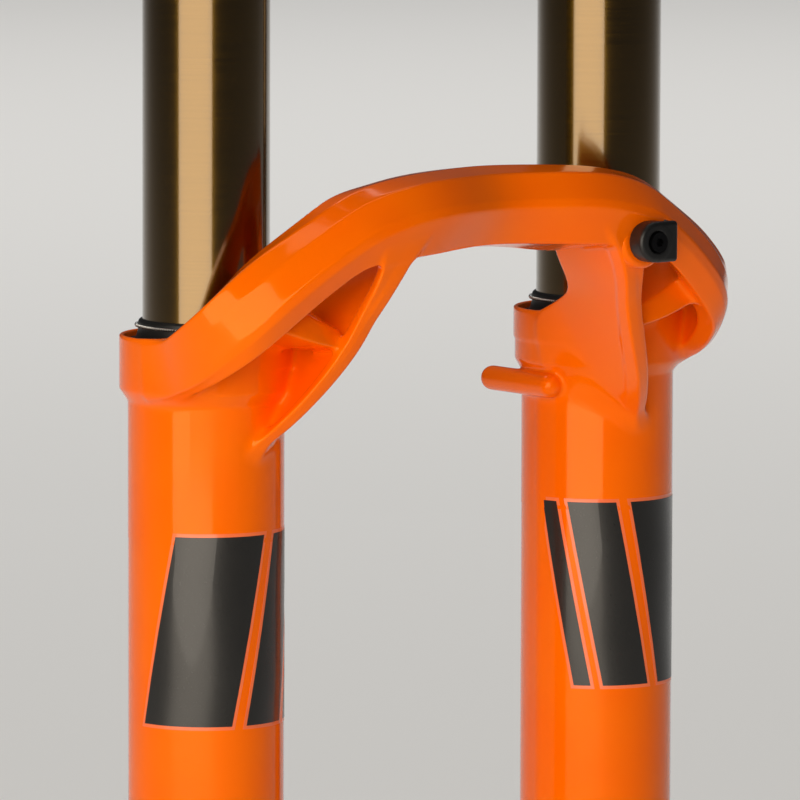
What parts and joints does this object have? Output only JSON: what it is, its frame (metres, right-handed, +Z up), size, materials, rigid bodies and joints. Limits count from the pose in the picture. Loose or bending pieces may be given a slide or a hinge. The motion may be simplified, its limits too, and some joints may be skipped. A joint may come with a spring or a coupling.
{
  "type": "suspension fork",
  "caption": "Dual-crown telescopic bicycle fork: orange lower casting with a webbed arch, gold upper tubes, air spring, damper and through axle.",
  "frame": {"origin": "centre of the wheel axle, midway between the dropouts", "axes": "+Z up the legs, -Y forwards in the riding direction, +X to the rider's left along the axle"},
  "size_m": [0.212, 0.1368, 0.8345],
  "materials": {
    "orange_paint": "gloss orange coat on a magnesium casting",
    "gold_anodised": "gold-brown hard-anodised tube",
    "seal_rubber": "moulded nitrile",
    "bumper_rubber": "moulded rubber",
    "spring_steel": "bright spring steel",
    "oil_foam": "open-cell foam, oiled",
    "bushing_coating": "filled sliding liner on steel",
    "black_plastic": "moulded nylon",
    "black_screw": "black-oxide steel",
    "black_anodised": "bead-blasted, black anodised",
    "bare_aluminium": "machined",
    "hard_chrome": "ground and plated",
    "dial_blue": "blue anodised, knurled",
    "dial_red": "red anodised, knurled",
    "brass": "turned"
  },
  "bodies": {
    "upper_assembly": {"stanchion_left": "gold_anodised", "stanchion_right": "gold_anodised", "frame_bumper_left": "bumper_rubber", "frame_bumper_right": "bumper_rubber", "lower_crown": "black_anodised", "upper_crown": "black_anodised", "lower_crown_screws": "black_screw", "upper_crown_screws": "black_screw", "steerer_tube": "bare_aluminium", "star_nut": "spring_steel", "preload_cap": "black_plastic", "preload_screw": "black_screw", "air_top_cap": "black_anodised", "air_valve_cap": "black_plastic", "volume_spacers": "black_plastic", "air_seal_head": "black_anodised", "air_top_out_bumper": "bumper_rubber", "damper_top_cap": "black_anodised", "damper_tube": "bare_aluminium", "damper_seal_head": "black_anodised", "compression_valve": "bare_aluminium", "retaining_rings": "spring_steel"},
    "lowers": {"lowers_casting": "orange_paint", "wiper_seal_left": "seal_rubber", "wiper_seal_right": "seal_rubber", "garter_spring_left": "spring_steel", "garter_spring_right": "spring_steel", "foam_ring_left": "oil_foam", "foam_ring_right": "oil_foam", "upper_bushing_left": "bushing_coating", "upper_bushing_right": "bushing_coating", "lower_bushing_left": "bushing_coating", "lower_bushing_right": "bushing_coating", "bleeder_valve_left": "brass", "bleeder_valve_right": "brass", "hose_guide": "black_plastic", "hose_guide_screw": "black_screw", "axle_pinch_screws": "black_screw", "crush_washers": "bare_aluminium", "foot_bolt_left": "black_screw", "foot_bolt_right": "black_screw", "air_shaft": "hard_chrome", "air_piston": "bare_aluminium", "air_bottom_bumper": "bumper_rubber", "damper_rod": "hard_chrome", "damper_piston": "bare_aluminium", "damper_bottom_bumper": "bumper_rubber"},
    "wheel_axle": {"axle": "black_anodised"},
    "bleeder_left": {"bleeder_button_left": "brass"},
    "bleeder_right": {"bleeder_button_right": "brass"},
    "high_speed_dial": {"high_speed_knob": "dial_blue"},
    "low_speed_dial": {"low_speed_knob": "dial_blue", "adjuster_shaft": "hard_chrome"},
    "rebound_dial": {"rebound_knob": "dial_red"},
    "floating_divider": {"floating_piston": "bare_aluminium"}
  },
  "joints": [
    {"name": "fork_travel", "type": "slide", "parent": "upper_assembly", "child": "lowers", "axis": [0, 0, 1], "range_m": [0, 0.203], "stiffness_N_per_m": 6000, "springref_m": -0.02},
    {"name": "floating_piston_slide", "type": "slide", "parent": "upper_assembly", "child": "floating_divider", "axis": [0, 0, 1], "range_m": [0, 0.0265]},
    {"name": "axle_withdraw", "type": "slide", "parent": "lowers", "child": "wheel_axle", "axis": [-1, 0, 0], "range_m": [0, 0.15]},
    {"name": "high_speed_turn", "type": "hinge", "parent": "upper_assembly", "child": "high_speed_dial", "pos_m": [-0.078, 0.018, 0.788], "axis": [0, 0, 1], "range_deg": [0, 150]},
    {"name": "low_speed_turn", "type": "hinge", "parent": "upper_assembly", "child": "low_speed_dial", "pos_m": [-0.078, 0.018, 0.795], "axis": [0, 0, 1], "range_deg": [0, 300]},
    {"name": "rebound_turn", "type": "hinge", "parent": "lowers", "child": "rebound_dial", "pos_m": [-0.078, 0.018, -0.03], "axis": [0, 0, 1], "range_deg": [0, 360]},
    {"name": "bleeder_left_press", "type": "slide", "parent": "lowers", "child": "bleeder_left", "axis": [0, -1, 0], "range_m": [0, 0.0012], "stiffness_N_per_m": 800, "springref_m": -0.001},
    {"name": "bleeder_right_press", "type": "slide", "parent": "lowers", "child": "bleeder_right", "axis": [0, -1, 0], "range_m": [0, 0.0012], "stiffness_N_per_m": 800, "springref_m": -0.001}
  ],
  "couplings": [
    {"joint": "floating_piston_slide", "follows": "fork_travel", "ratio": 0.12755}
  ]
}
